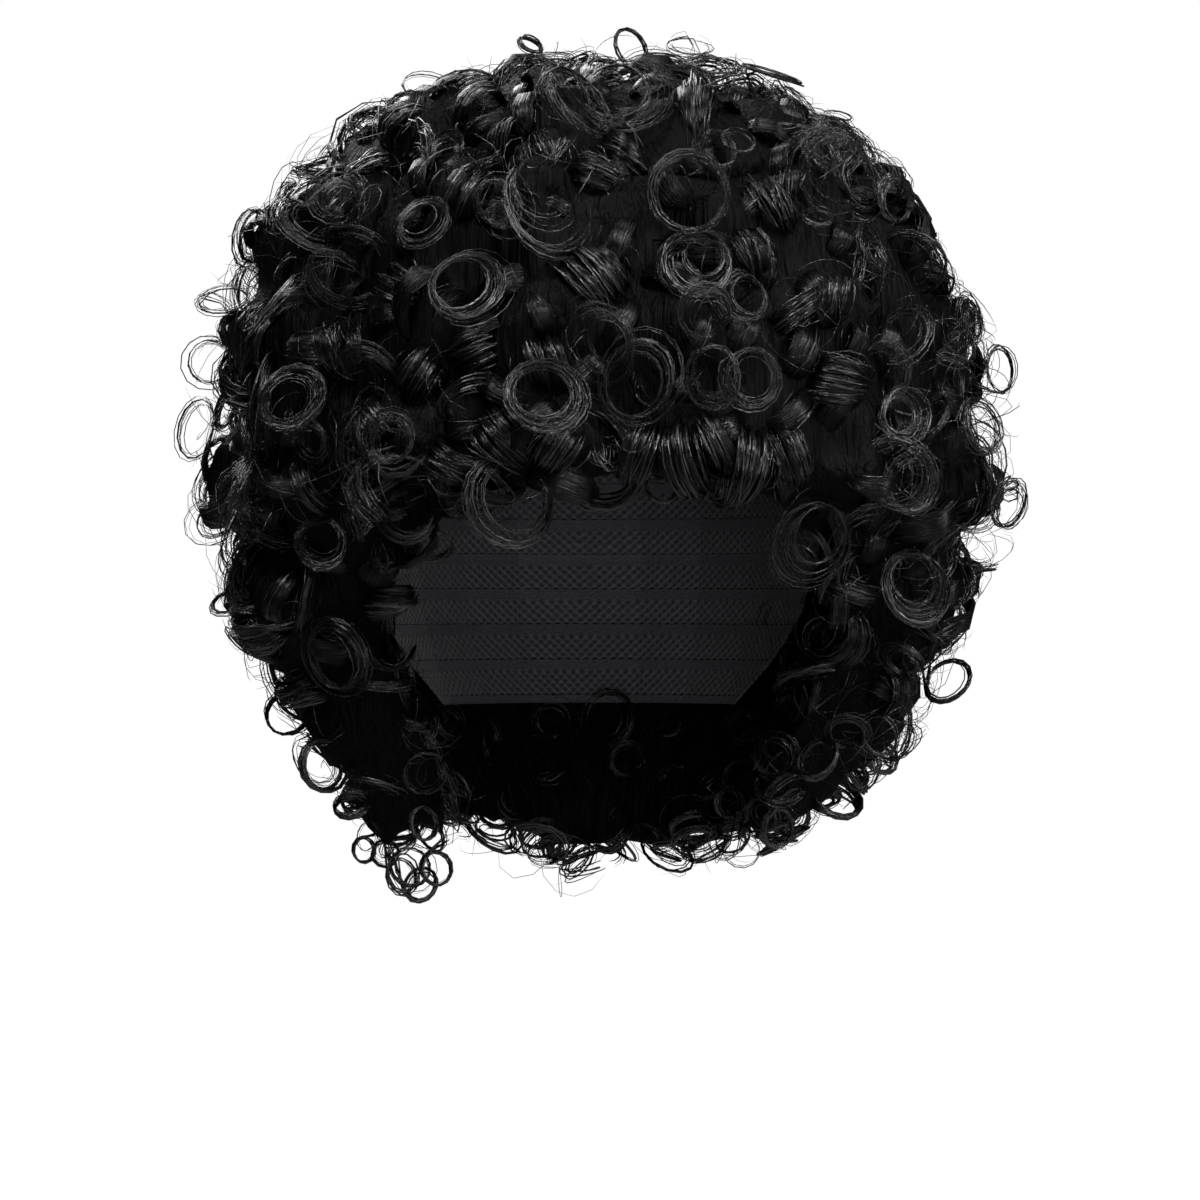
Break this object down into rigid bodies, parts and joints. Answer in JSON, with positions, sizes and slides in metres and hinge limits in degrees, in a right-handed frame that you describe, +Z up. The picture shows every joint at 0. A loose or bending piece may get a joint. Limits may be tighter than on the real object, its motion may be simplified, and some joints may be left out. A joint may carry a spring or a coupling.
{
  "type": "curly wig",
  "caption": "Short, full wig of loose black curls with a fringe, sewn in sections to a stretch cap that is open below and in front for the head and face.",
  "frame": {"origin": "the point inside the cap that rests on the top of the wearer's head", "axes": "+Z up along the wearer's height, -Y the way the wearer faces, +X to the wearer's left"},
  "size_m": [0.2802, 0.2848, 0.2813],
  "materials": {
    "curl_fibre": "glossy black synthetic fibre in loose curls",
    "cap_net": "matt black elastic net with rows of machine-sewn weft"
  },
  "bodies": {
    "root": {"wig_cap": "cap_net", "crown_curls": "curl_fibre", "fringe_curls": "curl_fibre", "side_curls_left": "curl_fibre", "side_curls_right": "curl_fibre", "back_curls": "curl_fibre", "nape_curls": "curl_fibre"}
  },
  "joints": []
}
